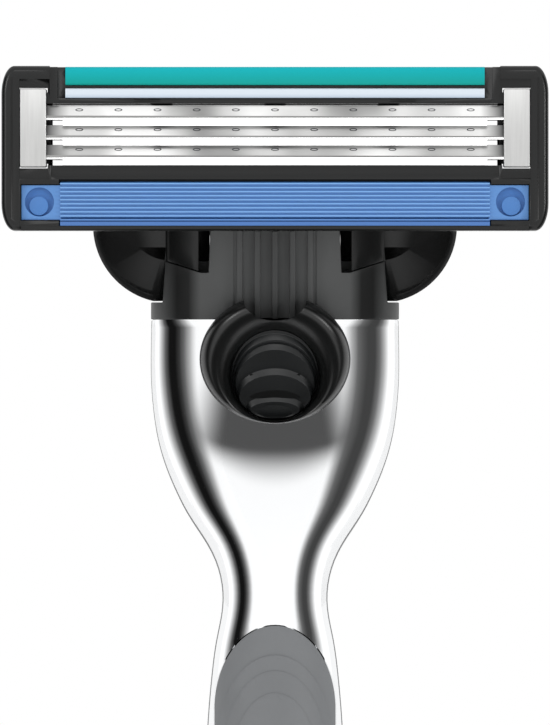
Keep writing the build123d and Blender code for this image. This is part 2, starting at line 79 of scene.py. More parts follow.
# The cartridge: its top edge, its front plane, and the blades' tilt and spacing.
CART_TOP, FACE_Y = 40.7, -24.5
BLADE_TILT, BLADE_PITCH, FIRST_EDGE = math.radians(21.0), 1.5, 4.5
WELD_PITCH, WELDS_EACH_SIDE = 2.97, 5


# --- Sizes and colours ------------------------------------------------------------------------


class RazorSizes(bpy.types.PropertyGroup):
    """Sizes of the visible detail."""

    wall: bpy.props.FloatProperty(
        name="Shell wall", description="Thickness of the handle's shells",
        default=1.3 * MM, unit="LENGTH", precision=5)
    ring_step: bpy.props.FloatProperty(
        name="Ring step", description="Distance between the rings that the handle is drawn from",
        default=1.25 * MM, unit="LENGTH", precision=5)
    seam: bpy.props.FloatProperty(
        name="Seam edge", description="Rounding of the shells' edges where they meet",
        default=0.1 * MM, unit="LENGTH", precision=5)
    moulded_edge: bpy.props.FloatProperty(
        name="Moulded edge", description="Rounding of the edges of the moulded pieces",
        default=0.07 * MM, unit="LENGTH", precision=5)
    clip_edge: bpy.props.FloatProperty(
        name="Clip edge", description="Rounding of the clips' bends",
        default=0.09 * MM, unit="LENGTH", precision=5)
    grip_gap: bpy.props.FloatProperty(
        name="Grip gap", description="Gap between a grip inlay and its pocket",
        default=0.08 * MM, unit="LENGTH", precision=5)


class RazorColours(bpy.types.PropertyGroup):
    """Colours of the finishes, as sRGB hex values."""

    chrome: bpy.props.StringProperty(
        name="Chrome", description="Tint of the chrome plate", default="F7F8F9")
    nylon: bpy.props.StringProperty(
        name="Black nylon", description="Collar, yoke and cartridge frame", default="4F5050")
    frame: bpy.props.StringProperty(
        name="Frame black", description="Cartridge frame and yoke", default="0E0F0F")
    gloss: bpy.props.StringProperty(
        name="Gloss black", description="Release button", default="060707")
    pad: bpy.props.StringProperty(
        name="Pad", description="Thumb pad of the release button", default="151718")
    grip: bpy.props.StringProperty(
        name="Grip", description="Elastomer inlays of the handle", default="6A6C6E")
    # The guard's ridge and valley colours are one blue: the ridge colour is a painted highlight,
    # the valley colour painted shade.
    ridge: bpy.props.StringProperty(
        name="Guard ridge", description="Tops of the guard's fins", default="6E9DD2")
    valley: bpy.props.StringProperty(
        name="Guard valley", description="Foot of the guard's fins", default="2F68AA")
    teal: bpy.props.StringProperty(
        name="Teal strip", description="Upper lubricating strip", default="00A2AA")
    pale: bpy.props.StringProperty(
        name="Pale strip", description="Lower lubricating strip", default="C6CFD8")


# --- Working by hand --------------------------------------------------------------------------


def deselect():
    """Leave edit mode and drop every selection."""
    if bpy.context.object and bpy.context.object.mode != "OBJECT":
        bpy.ops.object.mode_set(mode="OBJECT")
    bpy.ops.object.select_all(action="DESELECT")


def take(piece):
    """Make one object the selected and active one."""
    deselect()
    piece.select_set(True)
    bpy.context.view_layer.objects.active = piece
    return piece


def begin_edit(piece, mode="VERT"):
    """Enter edit mode with nothing selected."""
    take(piece)
    bpy.ops.object.mode_set(mode="EDIT")
    bpy.ops.mesh.select_mode(type=mode)
    bpy.ops.mesh.select_all(action="DESELECT")


def end_edit():
    bpy.ops.object.mode_set(mode="OBJECT")


def pick(kind, test):
    """Select the vertices, edges or faces that pass a test, in edit mode."""
    mesh = bmesh.from_edit_mesh(bpy.context.object.data)
    for part in getattr(mesh, kind):
        part.select_set(bool(test(part)))
    mesh.select_flush_mode()
    bmesh.update_edit_mesh(bpy.context.object.data)


def face_outward():
    """Turn every face of the mesh outward, in edit mode."""
    bpy.ops.mesh.select_all(action="SELECT")
    bpy.ops.mesh.normals_make_consistent(inside=False)


def close_rim(test):
    """Close an open rim, found by its vertices, with a face."""
    pick("verts", test)
    bpy.ops.mesh.edge_face_add()


def assign(index):
    """Give the selected faces one of the piece's finishes."""
    bpy.context.object.active_material_index = index
    bpy.ops.object.material_slot_assign()


def join(piece, other):
    """Join one object into another."""
    take(other)
    piece.select_set(True)
    bpy.context.view_layer.objects.active = piece
    bpy.ops.object.join()


def modify(piece, kind, **settings):
    """Add a modifier with its settings and apply it."""
    take(piece)
    modifier = piece.modifiers.new(kind.title(), kind)
    for name, value in settings.items():
        setattr(modifier, name, value)
    bpy.ops.object.modifier_apply(modifier=modifier.name)


def cut(piece, tool, operation="DIFFERENCE"):
    """Boolean with a tool that is thrown away afterwards."""
    modify(piece, "BOOLEAN", object=tool, operation=operation, solver="EXACT")
    bpy.data.objects.remove(tool)
    if not piece.data.polygons:
        raise RuntimeError(f"nothing is left of {piece.name} after a {operation.lower()}")


def round_edges(piece, width, segments=2, angle=35.0):
    modify(piece, "BEVEL", width=width, segments=segments, limit_method="ANGLE",
           angle_limit=math.radians(angle), use_clamp_overlap=False, harden_normals=False)


def smooth(piece, angle=35.0):
    take(piece)
    bpy.ops.object.shade_smooth_by_angle(angle=math.radians(angle))


def settle(piece):
    """Put the object's place into its mesh."""
    take(piece)
    bpy.ops.object.transform_apply(location=True, rotation=True, scale=True)


def hand_over(piece, name, body, slot, finishes, *nodes):
    """Name a finished piece, give it its finishes and tie it to the frame."""
    settle(piece)
    piece.name = name
    piece.data.name = name
    for index, finish in enumerate(finishes):
        if index < len(piece.data.materials):
            piece.data.materials[index] = finish
        else:
            piece.data.materials.append(finish)
    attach(piece, body)
    if nodes:
        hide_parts(*nodes)
    return piece


def clean_copy(node, flat=0.3):
    """A copy of a frame node with its loose triangles merged into faces."""
    source = frame["nodes"][node]
    piece = source.copy()
    piece.data = source.data.copy()
    piece.parent = None
    for key in list(piece.keys()):
        if key.startswith("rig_"):
            del piece[key]
    piece.data.materials.clear()
    bpy.context.scene.collection.objects.link(piece)
    piece.hide_render = False
    piece.hide_viewport = False
    begin_edit(piece)
    bpy.ops.mesh.select_all(action="SELECT")
    bpy.ops.mesh.remove_doubles(threshold=0.001 * MM)
    if flat:
        bpy.ops.mesh.dissolve_limited(angle_limit=math.radians(flat))
    end_edit()
    return piece


def bar(low, high):
    """A cube primitive between two corners given in millimetres."""
    deselect()
    middle = (Vector(low) + Vector(high)) / 2 * MM
    size = (Vector(high) - Vector(low)) * MM
    bpy.ops.mesh.primitive_cube_add(size=1, location=middle)
    piece = bpy.context.object
    piece.scale = size
    settle(piece)
    return piece


# --- Shape of the handle ----------------------------------------------------------------------


def centre_y(z):
    """Depth of the handle's centre line at a height, in millimetres."""
    if z > NECK_Z:
        return NECK_Y - (z - NECK_Z) * math.tan(LEAN)
    if z > BEND_LOW_Z:
        return math.sqrt(BEND_RADIUS**2 - (z - BEND_LOW_Z) ** 2) - BEND_RADIUS
    share = (BEND_LOW_Z - z) / (BEND_LOW_Z - BUTT_Z)
    return GRIP_BULGE * (1 - math.cos(2 * math.pi * share)) / 2


def section(z):
    """Half width and half depth at a height, eased between the sections."""
    last = len(SECTIONS) - 2
    step = max(i for i in range(last + 1) if SECTIONS[i][0] <= z or i == 0)
    before, low = SECTIONS[max(step - 1, 0)], SECTIONS[step]
    high, after = SECTIONS[step + 1], SECTIONS[min(step + 2, last + 1)]
    run = high[0] - low[0]
    t = (z - low[0]) / run
    sizes = []
    for axis in (1, 2):
        rise_low = (high[axis] - before[axis]) / (high[0] - before[0]) * run
        rise_high = (after[axis] - low[axis]) / (after[0] - low[0]) * run
        sizes.append(
            low[axis] * (2 * t**3 - 3 * t**2 + 1) + rise_low * (t**3 - 2 * t**2 + t)
            + high[axis] * (3 * t**2 - 2 * t**3) + rise_high * (t**3 - t**2))
    return sizes


def half_tube(side, low_z, high_z, step, grow=0.0):
    """Front (side -1) or back (side 1) half of the handle's skin, drawn ring by ring."""
    deselect()
    wide, deep = section(low_z)
    bpy.ops.mesh.primitive_circle_add(vertices=48, radius=1.0, location=(0, 0, 0))
    piece = bpy.context.object
    begin_edit(piece)
    pick("verts", lambda v: v.co.y * side < -1e-4)
    bpy.ops.mesh.delete(type="VERT")
    bpy.ops.mesh.select_all(action="SELECT")
    here = Vector((0, centre_y(low_z), low_z)) * MM
    scale = ((wide + grow) * MM, (deep + grow) * MM, 1)
    bpy.ops.transform.resize(value=scale, center_override=(0, 0, 0))
    bpy.ops.transform.translate(value=here)
    count = math.ceil((high_z - low_z) / step)
    for ring in range(1, count + 1):
        z = low_z + (high_z - low_z) * ring / count
        there = Vector((0, centre_y(z), z)) * MM
        new_wide, new_deep = section(z)
        bpy.ops.mesh.extrude_region_move(TRANSFORM_OT_translate={"value": there - here})
        scale = ((new_wide + grow) / (wide + grow), (new_deep + grow) / (deep + grow), 1)
        bpy.ops.transform.resize(value=scale, center_override=there)
        here, wide, deep = there, new_wide, new_deep
    face_outward()
    middle = bmesh.from_edit_mesh(piece.data)
    middle.faces.ensure_lookup_table()
    face = max(middle.faces, key=lambda f: f.calc_center_median().z)
    centre = Vector((0, centre_y(high_z) * MM, face.calc_center_median().z))
    if face.normal.dot(face.calc_center_median() - centre) < 0:
        bpy.ops.mesh.flip_normals()
    end_edit()
    modify(piece, "SUBSURF", levels=1, render_levels=1)
    return piece


def thicken(piece, wall):
    modify(piece, "SOLIDIFY", thickness=wall, offset=-1, use_even_offset=True)


def arch_tool(half_width, apex_z, low_z, rise, side, shrink=0.0):
    """A prism with the grip inlay's outline, on one side of the handle."""
    deselect()
    half_width -= shrink
    apex_z -= shrink
    low_z += shrink
    middle_z = apex_z - rise
    bpy.ops.mesh.primitive_cylinder_add(
        vertices=96, radius=1.0, depth=2.0, location=(0, 0, 0), rotation=(math.pi / 2, 0, 0))
    piece = bpy.context.object
    settle(piece)
    begin_edit(piece)
    pick("verts", lambda v: v.co.z > 1e-5)
    scale = (half_width * MM, 1, rise * MM)
    bpy.ops.transform.resize(value=scale, center_override=(0, 0, 0))
    bpy.ops.transform.translate(value=(0, 0, middle_z * MM))
    pick("verts", lambda v: abs(v.co.x) > 0.5 or v.co.z < -0.5)
    scale = (half_width * MM, 1, half_width * MM)
    bpy.ops.transform.resize(value=scale, center_override=(0, 0, 0))
    bpy.ops.transform.translate(value=(0, 0, low_z * MM))
    end_edit()
    return piece


# --- Finishes -----------------------------------------------------------------------------------


def linear(code, alpha=1.0):
    """An sRGB hex colour as linear values."""
    channels = [int(code[i:i + 2], 16) / 255 for i in (0, 2, 4)]
    return (*[c / 12.92 if c <= 0.04045 else ((c + 0.055) / 1.055) ** 2.4 for c in channels], alpha)


def add(tree, kind, inputs=None, **settings):
    """Add a node, with its settings, its input values and its links."""
    made = tree.nodes.new(kind)
    for name, value in settings.items():
        setattr(made, name, value)
    for name, value in (inputs or {}).items():
        if isinstance(value, bpy.types.NodeSocket):
            tree.links.new(value, made.inputs[name])
        else:
            made.inputs[name].default_value = value
    return made


def blank(name):
    """A material with no nodes yet, and its tree."""
    made = bpy.data.materials.new(name)
    made.use_nodes = True
    made.node_tree.nodes.clear()
    return made, made.node_tree


def close(tree, **sockets):
    """The shader and the output. An underscore in a name stands for a space."""
    inputs = {name.replace("_", " "): value for name, value in sockets.items()}
    shader = add(tree, "ShaderNodeBsdfPrincipled", inputs)
    add(tree, "ShaderNodeOutputMaterial", {"Surface": shader.outputs[0]})
    return shader


def speckle(tree, size, detail=3.0, stretch=(1, 1, 1)):
    """Noise whose blobs are about a given size in millimetres, on Object coordinates."""
    place = add(tree, "ShaderNodeTexCoord").outputs["Object"]
    place = add(tree, "ShaderNodeMapping", {"Vector": place, "Scale": stretch}).outputs[0]
    inputs = {"Vector": place, "Scale": 1 / (size * MM), "Detail": detail}
    return add(tree, "ShaderNodeTexNoise", inputs).outputs["Fac"]


def between(tree, fac, low, high):
    """A factor from 0 to 1 turned into a range of values."""
    inputs = {"Value": fac, "To Min": low, "To Max": high}
    return add(tree, "ShaderNodeMapRange", inputs).outputs[0]


def two_tone(tree, fac, low, high):
    """A colour between two, by a factor."""
    mix = add(tree, "ShaderNodeMix", data_type="RGBA")
    tree.links.new(fac, mix.inputs["Factor"])
    mix.inputs[6].default_value = low
    mix.inputs[7].default_value = high
    return mix.outputs[2]


def grain(tree, height, size, strength):
    """Bump from a height, whose depth is given in millimetres."""
    inputs = {"Height": height, "Distance": size * MM, "Strength": strength}
    return add(tree, "ShaderNodeBump", inputs).outputs[0]


def along_axis(tree, axis, low, high):
    """0 at one place on an axis and 1 at another, in millimetres of Object coordinates."""
    place = add(tree, "ShaderNodeTexCoord").outputs["Object"]
    split = add(tree, "ShaderNodeSeparateXYZ", {"Vector": place}).outputs[axis]
    inputs = {"Value": split, "From Min": low * MM, "From Max": high * MM}
    return add(tree, "ShaderNodeMapRange", inputs).outputs[0]


def darker(colour, share):
    return (*[c * share for c in colour[:3]], 1)


def maths(tree, operation, *values):
    """One arithmetic node on sockets and numbers."""
    inputs = dict(enumerate(values))
    return add(tree, "ShaderNodeMath", inputs, operation=operation).outputs[0]


def from_middle(tree):
    """Distance to either side of the middle plane, in metres of Object coordinates."""
    place = add(tree, "ShaderNodeTexCoord").outputs["Object"]
    split = add(tree, "ShaderNodeSeparateXYZ", {"Vector": place}).outputs
    return maths(tree, "ABSOLUTE", split["X"]), split


def grey_ramp(tree, fac, points):
    """A ramp of greys, from (position, value) pairs."""
    ramp = add(tree, "ShaderNodeValToRGB", {"Fac": fac})
    while len(ramp.color_ramp.elements) < len(points):
        ramp.color_ramp.elements.new(0.5)
    for element, (position, value) in zip(ramp.color_ramp.elements, points):
        element.position = position
        element.color = (value, value, value, 1)
    return ramp.outputs[0]


def multiply(tree, tone, shade):
    """One colour multiplied by another."""
    mix = add(tree, "ShaderNodeMix", data_type="RGBA", blend_type="MULTIPLY")
    mix.inputs["Factor"].default_value = 1.0
    tree.links.new(tone, mix.inputs[6])
    tree.links.new(shade, mix.inputs[7])
    return mix.outputs[2]


def chrome_plate(colour):
    """Bright chrome over a polished casting: a mirror, with faint handling haze 9 mm across."""
    made, tree = blank("bright_chrome_plate")
    haze = speckle(tree, 9.0, 4.0)
    rough = between(tree, haze, 0.045, 0.085)
    tone = two_tone(tree, speckle(tree, 14.0, 2.0), darker(linear(colour), 0.97), linear(colour))
    # Polishing lines are finer than this; they are drawn 0.4 mm apart so that they show at all.
    lines = speckle(tree, 0.4, 2.0, (1, 1, 0.15))
    normal = grain(tree, lines, 0.002, 0.02)
    close(tree, Base_Color=tone, Metallic=1.0, Roughness=rough, Normal=normal)
    return made


def moulded_nylon(name, colour, rough_low, rough_high, sheen, shade=None):
    """Satin moulded nylon: spark-eroded grain about 0.1 mm, drawn 0.18 mm so that it shows."""
    made, tree = blank(name)
    fine = speckle(tree, 0.18, 2.0)
    flow = speckle(tree, 5.0, 3.0)
    tone = two_tone(tree, flow, darker(linear(colour), 0.86), darker(linear(colour), 1.12))
    rough = between(tree, flow, rough_low, rough_high)
    normal = grain(tree, fine, 0.01, 0.12)
    if shade:
        tone = shade(tree, tone)
    close(tree, Base_Color=tone, Roughness=rough, Normal=normal, Specular_IOR_Level=sheen)
    return made


def shoulder_shade(tree, tone):
    """Dark bands painted down the collar's shoulders, to look like reflections of dark flags."""
    side, _ = from_middle(tree)
    share = maths(tree, "DIVIDE", side, 0.01)
    points = [(0.0, 0.75), (0.42, 1.0), (0.57, 0.95), (0.66, 0.16), (0.75, 0.12), (0.84, 0.55),
              (0.93, 0.8)]
    return multiply(tree, tone, grey_ramp(tree, share, points))


def polished_abs(colour):
    """Polished ABS off a mirror-finished mould: deep black with soft, clear highlights."""
    made, tree = blank("polished_black_abs")
    wear = speckle(tree, 2.5, 4.0)
    tone = two_tone(tree, wear, linear(colour), darker(linear(colour), 1.5))
    rough = between(tree, wear, 0.26, 0.32)
    close(tree, Base_Color=tone, Roughness=rough, IOR=1.54)
    return made


def elastomer(name, colour, rough_low, rough_high, size):
    """Moulded thermoplastic elastomer: matt, slightly dusty, with a fine moulded grain."""
    made, tree = blank(name)
    bloom = speckle(tree, 3.0, 4.0)
    fine = speckle(tree, size, 2.0)
    tone = two_tone(tree, bloom, darker(linear(colour), 0.9), darker(linear(colour), 1.06))
    rough = between(tree, bloom, rough_low, rough_high)
    normal = grain(tree, fine, 0.02, 0.25)
    close(tree, Base_Color=tone, Roughness=rough, Normal=normal, IOR=1.5)
    return made


def guard_elastomer(ridge, valley):
    """Blue overmoulded elastomer: one blue, painted lighter on the fins' tops as a highlight and
    darker at their feet as painted shade.
    """
    made, tree = blank("overmoulded_blue_elastomer")
    # Painted highlight and shade: lighter where the fins stand out, darker down in their valleys.
    depth = along_axis(tree, "Y", FACE_Y + 0.5, FACE_Y + 0.06)
    tone = two_tone(tree, depth, linear(valley), linear(ridge))
    # Painted shade: the ledge below the fins is drawn darker.
    ledge = along_axis(tree, "Z", CART_TOP - 11.7, CART_TOP - 11.6)
    shade = two_tone(tree, ledge, (0.34, 0.48, 0.66, 1), (1, 1, 1, 1))
    bloom = speckle(tree, 1.5, 3.0)
    rough = between(tree, bloom, 0.42, 0.55)
    normal = grain(tree, speckle(tree, 0.12, 2.0), 0.01, 0.12)
    close(tree, Base_Color=multiply(tree, tone, shade), Roughness=rough, Normal=normal, IOR=1.5)
    return made


def lubricating_polymer(name, colour, lower, low_z, high_z):
    """Extruded water-soluble polymer: waxy, with faint drawn lines along its length."""
    made, tree = blank(name)
    drawn = speckle(tree, 0.35, 3.0, (0.04, 1, 1))
    height = along_axis(tree, "Z", low_z, high_z)
    tone = two_tone(tree, height, linear(lower), linear(colour))
    rough = between(tree, drawn, 0.38, 0.52)
    normal = grain(tree, drawn, 0.01, 0.25)
    close(tree, Base_Color=tone, Roughness=rough, Normal=normal, Specular_IOR_Level=0.15)
    return made


def ground_steel():
    """Ground and coated blade steel: grinding lines along the blade, drawn 0.15 mm apart, and broad
    bands of painted reflection.
    """
    made, tree = blank("ground_blade_steel")
    lines = speckle(tree, 0.15, 3.0, (0.03, 1, 1))
    # Painted reflection: broad bright and grey bands along the blade.
    reflection_bands = speckle(tree, 7.0, 1.5, (1, 0.6, 0.6))
    inputs = {"Value": reflection_bands, "From Min": 0.36, "From Max": 0.6}
    fac = add(tree, "ShaderNodeMapRange", inputs).outputs[0]
    tone = two_tone(tree, fac, linear("868685"), linear("DCDCDB"))
    # Painted darker towards the clips, where a real blade would be shaded.
    side, _ = from_middle(tree)
    inputs = {"Value": side, "From Min": 15.6 * MM, "From Max": 17.3 * MM}
    end = add(tree, "ShaderNodeMapRange", inputs).outputs[0]
    mix = add(tree, "ShaderNodeMix", data_type="RGBA")
    tree.links.new(end, mix.inputs["Factor"])
    tree.links.new(tone, mix.inputs[6])
    mix.inputs[7].default_value = linear("4A4A4A")
    tone = mix.outputs[2]
    rough = between(tree, lines, 0.3, 0.4)
    normal = grain(tree, lines, 0.004, 0.12)
    close(tree, Base_Color=tone, Metallic=1.0, Roughness=rough, Normal=normal)
    return made


def dull_step():
    """The narrow step along the blade behind the bevel, drawn darker as painted shade, and duller
    than the rest.
    """
    made, tree = blank("etched_step_steel")
    shade = speckle(tree, 6.0, 1.5, (1, 0.6, 0.6))
    # Painted shade: the step's steel is darker than the flat's.
    tone = two_tone(tree, shade, linear("6A6A69"), linear("A2A2A1"))
    close(tree, Base_Color=tone, Metallic=1.0, Roughness=between(tree, shade, 0.4, 0.5))
    return made


def honed_bevel():
    """Honed cutting bevel: smoother than the flat behind it, and painted brighter as a highlight.
    """
    made, tree = blank("honed_bevel_steel")
    lines = speckle(tree, 2.5, 1.0)
    rough = between(tree, lines, 0.12, 0.2)
    # Painted highlight: the bevel's steel is brighter than the flat's.
    tone = two_tone(tree, lines, linear("E8E8E8"), linear("F6F6F6"))
    close(tree, Base_Color=tone, Metallic=1.0, Roughness=rough)
    return made


def weld_tint():
    """Heat tint round a laser weld: blue-grey oxide on steel."""
    made, tree = blank("laser_weld_tint")
    fine = speckle(tree, 0.15, 2.0)
    tone = two_tone(tree, fine, linear("17191E"), linear("2C3038"))
    close(tree, Base_Color=tone, Metallic=0.8, Roughness=between(tree, fine, 0.35, 0.5))
    return made


def weld_pool():
    """The middle of a weld: steel that melted and set again, slightly blue."""
    made, tree = blank("laser_weld_pool")
    fine = speckle(tree, 0.2, 2.0)
    tone = two_tone(tree, fine, linear("3C4254"), linear("6F7896"))
    close(tree, Base_Color=tone, Metallic=1.0, Roughness=between(tree, fine, 0.2, 0.35))
    return made


def rolled_metal(name, low, high, rough_low, rough_high, stretch):
    """Rolled strip or drawn wire: satin, with lines along the rolling direction."""
    made, tree = blank(name)
    lines = speckle(tree, 0.2, 3.0, stretch)
    tone = two_tone(tree, lines, linear(low), linear(high))
    rough = between(tree, lines, rough_low, rough_high)
    normal = grain(tree, lines, 0.006, 0.15)
    close(tree, Base_Color=tone, Metallic=1.0, Roughness=rough, Normal=normal)
    return made


def glass_filled_nylon():
    """Grey glass-filled nylon of the hidden mouldings: matt, with fibre flecks."""
    made, tree = blank("glass_filled_nylon")
    flecks = speckle(tree, 0.5, 4.0, (1, 1, 0.3))
    tone = two_tone(tree, flecks, linear("565859"), linear("6E7071"))
    close(tree, Base_Color=tone, Roughness=between(tree, flecks, 0.5, 0.65))
    return made


def finish(name):
    """The finish of a piece, made once and shared."""
    colours = bpy.context.scene.razor_colours
    makers = {
        "bright_chrome_plate": lambda: chrome_plate(colours.chrome),
        "moulded_black_nylon": lambda: moulded_nylon(
            "moulded_black_nylon", colours.nylon, 0.3, 0.38, 0.4),
        "moulded_collar_nylon": lambda: moulded_nylon(
            "moulded_collar_nylon", colours.nylon, 0.3, 0.38, 0.16, shoulder_shade),
        "moulded_frame_nylon": lambda: moulded_nylon(
            "moulded_frame_nylon", colours.frame, 0.2, 0.26, 0.38),
        "polished_black_abs": lambda: polished_abs(colours.gloss),
        "moulded_pad_elastomer": lambda: elastomer(
            "moulded_pad_elastomer", colours.pad, 0.34, 0.46, 0.2),
        "moulded_grip_elastomer": lambda: elastomer(
            "moulded_grip_elastomer", colours.grip, 0.5, 0.62, 0.35),
        "overmoulded_blue_elastomer": lambda: guard_elastomer(colours.ridge, colours.valley),
        "extruded_teal_polymer": lambda: lubricating_polymer(
            "extruded_teal_polymer", colours.teal, "009088", CART_TOP - 1.4, CART_TOP - 0.2),
        "extruded_pale_polymer": lambda: lubricating_polymer(
            "extruded_pale_polymer", colours.pale, "A3B2C2", CART_TOP - 2.5, CART_TOP - 2.1),
        "ground_blade_steel": ground_steel,
        "honed_bevel_steel": honed_bevel,
        "etched_step_steel": dull_step,
        "laser_weld_tint": weld_tint,
        "laser_weld_pool": weld_pool,
        "satin_aluminium_strip": lambda: rolled_metal(
            "satin_aluminium_strip", "BBBBBA", "CFCFCE", 0.36, 0.44, (1, 1, 0.05)),
        "stamped_stainless_strip": lambda: rolled_metal(
            "stamped_stainless_strip", "3E3E3D", "5A5A59", 0.4, 0.5, (0.05, 1, 1)),
        "drawn_spring_wire": lambda: rolled_metal(
            "drawn_spring_wire", "9C9C9A", "C6C6C4", 0.25, 0.4, (1, 1, 1)),
        "glass_filled_nylon": glass_filled_nylon,
    }
    return bpy.data.materials.get(name) or makers[name]()


# --- Pieces -------------------------------------------------------------------------------------


class RAZOR_OT_handle_shells(bpy.types.Operator):
    """Chrome front and back shells that meet in a fine seam down both sides"""

    bl_idname = "razor.handle_shells"
    bl_label = "Handle shells"

    def execute(self, context):
        sizes = context.scene.razor_sizes
        step = sizes.ring_step / MM
        for side, name, arch in ((-1, "front", FRONT_ARCH), (1, "back", BACK_ARCH)):
            shell = half_tube(side, BUTT_Z, COLLAR_Z, step)
            thicken(shell, sizes.wall)
            round_edges(shell, sizes.seam, 2, 60)
            pocket = half_tube(side, BUTT_Z, COLLAR_Z, step, grow=0.5)
            thicken(pocket, 1.4 * MM)
            outline = arch_tool(*arch, side)
            limit_side(outline, side)
            cut(pocket, outline, "INTERSECT")
            cut(shell, pocket)
            if side < 0:
                cut(shell, neck_bar((-2.2, 7.2, 2.0), (2.2, 16.0, 6.0)))
            smooth(shell, 30)
            hand_over(shell, f"{name}_shell", "handle", "chrome",
                      [finish("bright_chrome_plate")], f"handle_{name}_shell")
        return {"FINISHED"}


def limit_side(tool, side):
    """Keep the half of an outline tool that is on one side of the handle's middle."""
    begin_edit(tool)
    pick("verts", lambda v: v.co.y * side < 0)
    bpy.ops.transform.resize(value=(1, 0, 1), center_override=(0, 0, 0))
    bpy.ops.transform.translate(value=(0, side * 0.5 * MM, 0))
    end_edit()


def neck_bar(low, high):
    """A cube primitive in the neck's own frame: across, up the neck, out of its face."""
    piece = bar(low, high)
    to_neck(piece)
    return piece


def to_neck(piece):
    """Turn a piece drawn flat (across, up, out) on to the leaning neck."""
    piece.rotation_euler = (math.pi / 2 + LEAN, 0, 0)
    piece.location = (0, NECK_Y * MM, NECK_Z * MM)
    settle(piece)


class RAZOR_OT_end_cap(bpy.types.Operator):
    """Domed chrome cap that closes the handle's lower end"""

    bl_idname = "razor.end_cap"
    bl_label = "End cap"

    def execute(self, context):
        deselect()
        wide, deep = SECTIONS[0][1:]
        bpy.ops.mesh.primitive_circle_add(vertices=64, radius=1.0, location=(0, 0, BUTT_Z * MM))
        cap = bpy.context.object
        cap.scale = (wide * MM, deep * MM, 1)
        settle(cap)
        begin_edit(cap)
        bpy.ops.mesh.select_all(action="SELECT")
        length = 6.3
        old_share, old_z = 1.0, BUTT_Z
        for ring in range(1, 13):
            angle = ring / 12 * math.radians(80)
            share = math.cos(angle) ** 0.9
            z = BUTT_Z - length * math.sin(angle) / math.sin(math.radians(80))
            bpy.ops.mesh.extrude_region_move(
                TRANSFORM_OT_translate={"value": (0, 0, (z - old_z) * MM)})
            scale = share / old_share
            bpy.ops.transform.resize(value=(scale, scale, 1), center_override=(0, 0, z * MM))
            old_share, old_z = share, z
        bpy.ops.mesh.edge_face_add()
        bpy.ops.mesh.select_all(action="DESELECT")
        close_rim(lambda v: v.co.z > (BUTT_Z - 0.01) * MM)
        face_outward()
        end_edit()
        round_edges(cap, context.scene.razor_sizes.seam, 2, 60)
        smooth(cap, 30)
        hand_over(cap, "end_cap_dome", "handle", "chrome",
                  [finish("bright_chrome_plate")], "end_cap")
        return {"FINISHED"}


class RAZOR_OT_grips(bpy.types.Operator):
    """Grey elastomer inlays: the front one rises in shallow arched steps"""

    bl_idname = "razor.grips"
    bl_label = "Grip inlays"

    def execute(self, context):
        sizes = context.scene.razor_sizes
        gap = sizes.grip_gap / MM
        step = sizes.ring_step / MM
        for side, name, arch in ((-1, "front", FRONT_ARCH), (1, "back", BACK_ARCH)):
            grip = self.layer(side, arch, step, -0.03, gap)
            steps = ((2.35, 0.4), (3.55, 0.8), (5.25, 1.3)) if side < 0 else ()
            for index, (drop, narrow) in enumerate(steps):
                half, apex, low, rise = arch
                inner = (half - narrow, apex - drop, low + narrow, rise - 0.3 * narrow)
                raised = self.layer(side, inner, step, 0.06 * (index + 1), 0.0)
                join(grip, raised)
            hand_over(grip, f"{name}_grip_inlay", "handle", "grip_elastomer",
                      [finish("moulded_grip_elastomer")], f"{name}_grip")
        return {"FINISHED"}

    def layer(self, side, arch, step, proud, gap):
        """One layer of a grip, standing proud of the shells by a small amount."""
        half, apex, low, rise = arch
        skin = half_tube(side, -92.0, 4.0, step, grow=proud)
        thicken(skin, (0.86 + proud) * MM)
        outline = arch_tool(half, apex, low, rise, side, gap)
        limit_side(outline, side)
        cut(skin, outline, "INTERSECT")
        modify(skin, "BEVEL", width=0.04 * MM, segments=2, limit_method="ANGLE",
               angle_limit=math.radians(50))
        smooth(skin, 30)
        return skin


class RAZOR_OT_collar(bpy.types.Operator):
    """Black collar with its ribbed panel, and the tongue that carries the yoke"""

    bl_idname = "razor.collar"
    bl_label = "Collar"

    def execute(self, context):
        collar = clean_copy("head_carrier")
        round_edges(collar, context.scene.razor_sizes.moulded_edge, 2, 40)
        smooth(collar, 32)
        hand_over(collar, "collar_and_tongue", "handle", "black_nylon",
                  [finish("moulded_collar_nylon")], "head_carrier")
        return {"FINISHED"}


def oval_rings(rings, count=64):
    """Rings of a dished shape: each is (half width, half height, up, out) in millimetres."""
    deselect()
    wide, high, up, out = rings[0]
    bpy.ops.mesh.primitive_circle_add(vertices=count, radius=1.0, location=(0, up * MM, out * MM))
    piece = bpy.context.object
    piece.scale = (wide * MM, high * MM, 1)
    settle(piece)
    begin_edit(piece)
    bpy.ops.mesh.select_all(action="SELECT")
    here = Vector((0, up, out)) * MM
    for new_wide, new_high, up, out in rings[1:]:
        there = Vector((0, up, out)) * MM
        bpy.ops.mesh.extrude_region_move(TRANSFORM_OT_translate={"value": there - here})
        scale = (new_wide / wide, new_high / high, 1)
        bpy.ops.transform.resize(value=scale, center_override=there)
        here, wide, high = there, new_wide, new_high
    end_edit()
    return piece


def up_for(z, out):
    """Distance up the neck of a point that shows at a height, at a distance out of the face."""
    return (z - NECK_Z + out * math.sin(LEAN)) / math.cos(LEAN)


def button_ring(share, out):
    """An oval between the button's outline (0) and its opening (1)."""
    wide = 5.77 + (3.37 - 5.77) * share
    high = 4.95 + (3.5 - 4.95) * share
    z = 18.45 + (17.2 - 18.45) * share
    return (wide, high / math.cos(LEAN), up_for(z, out), out)


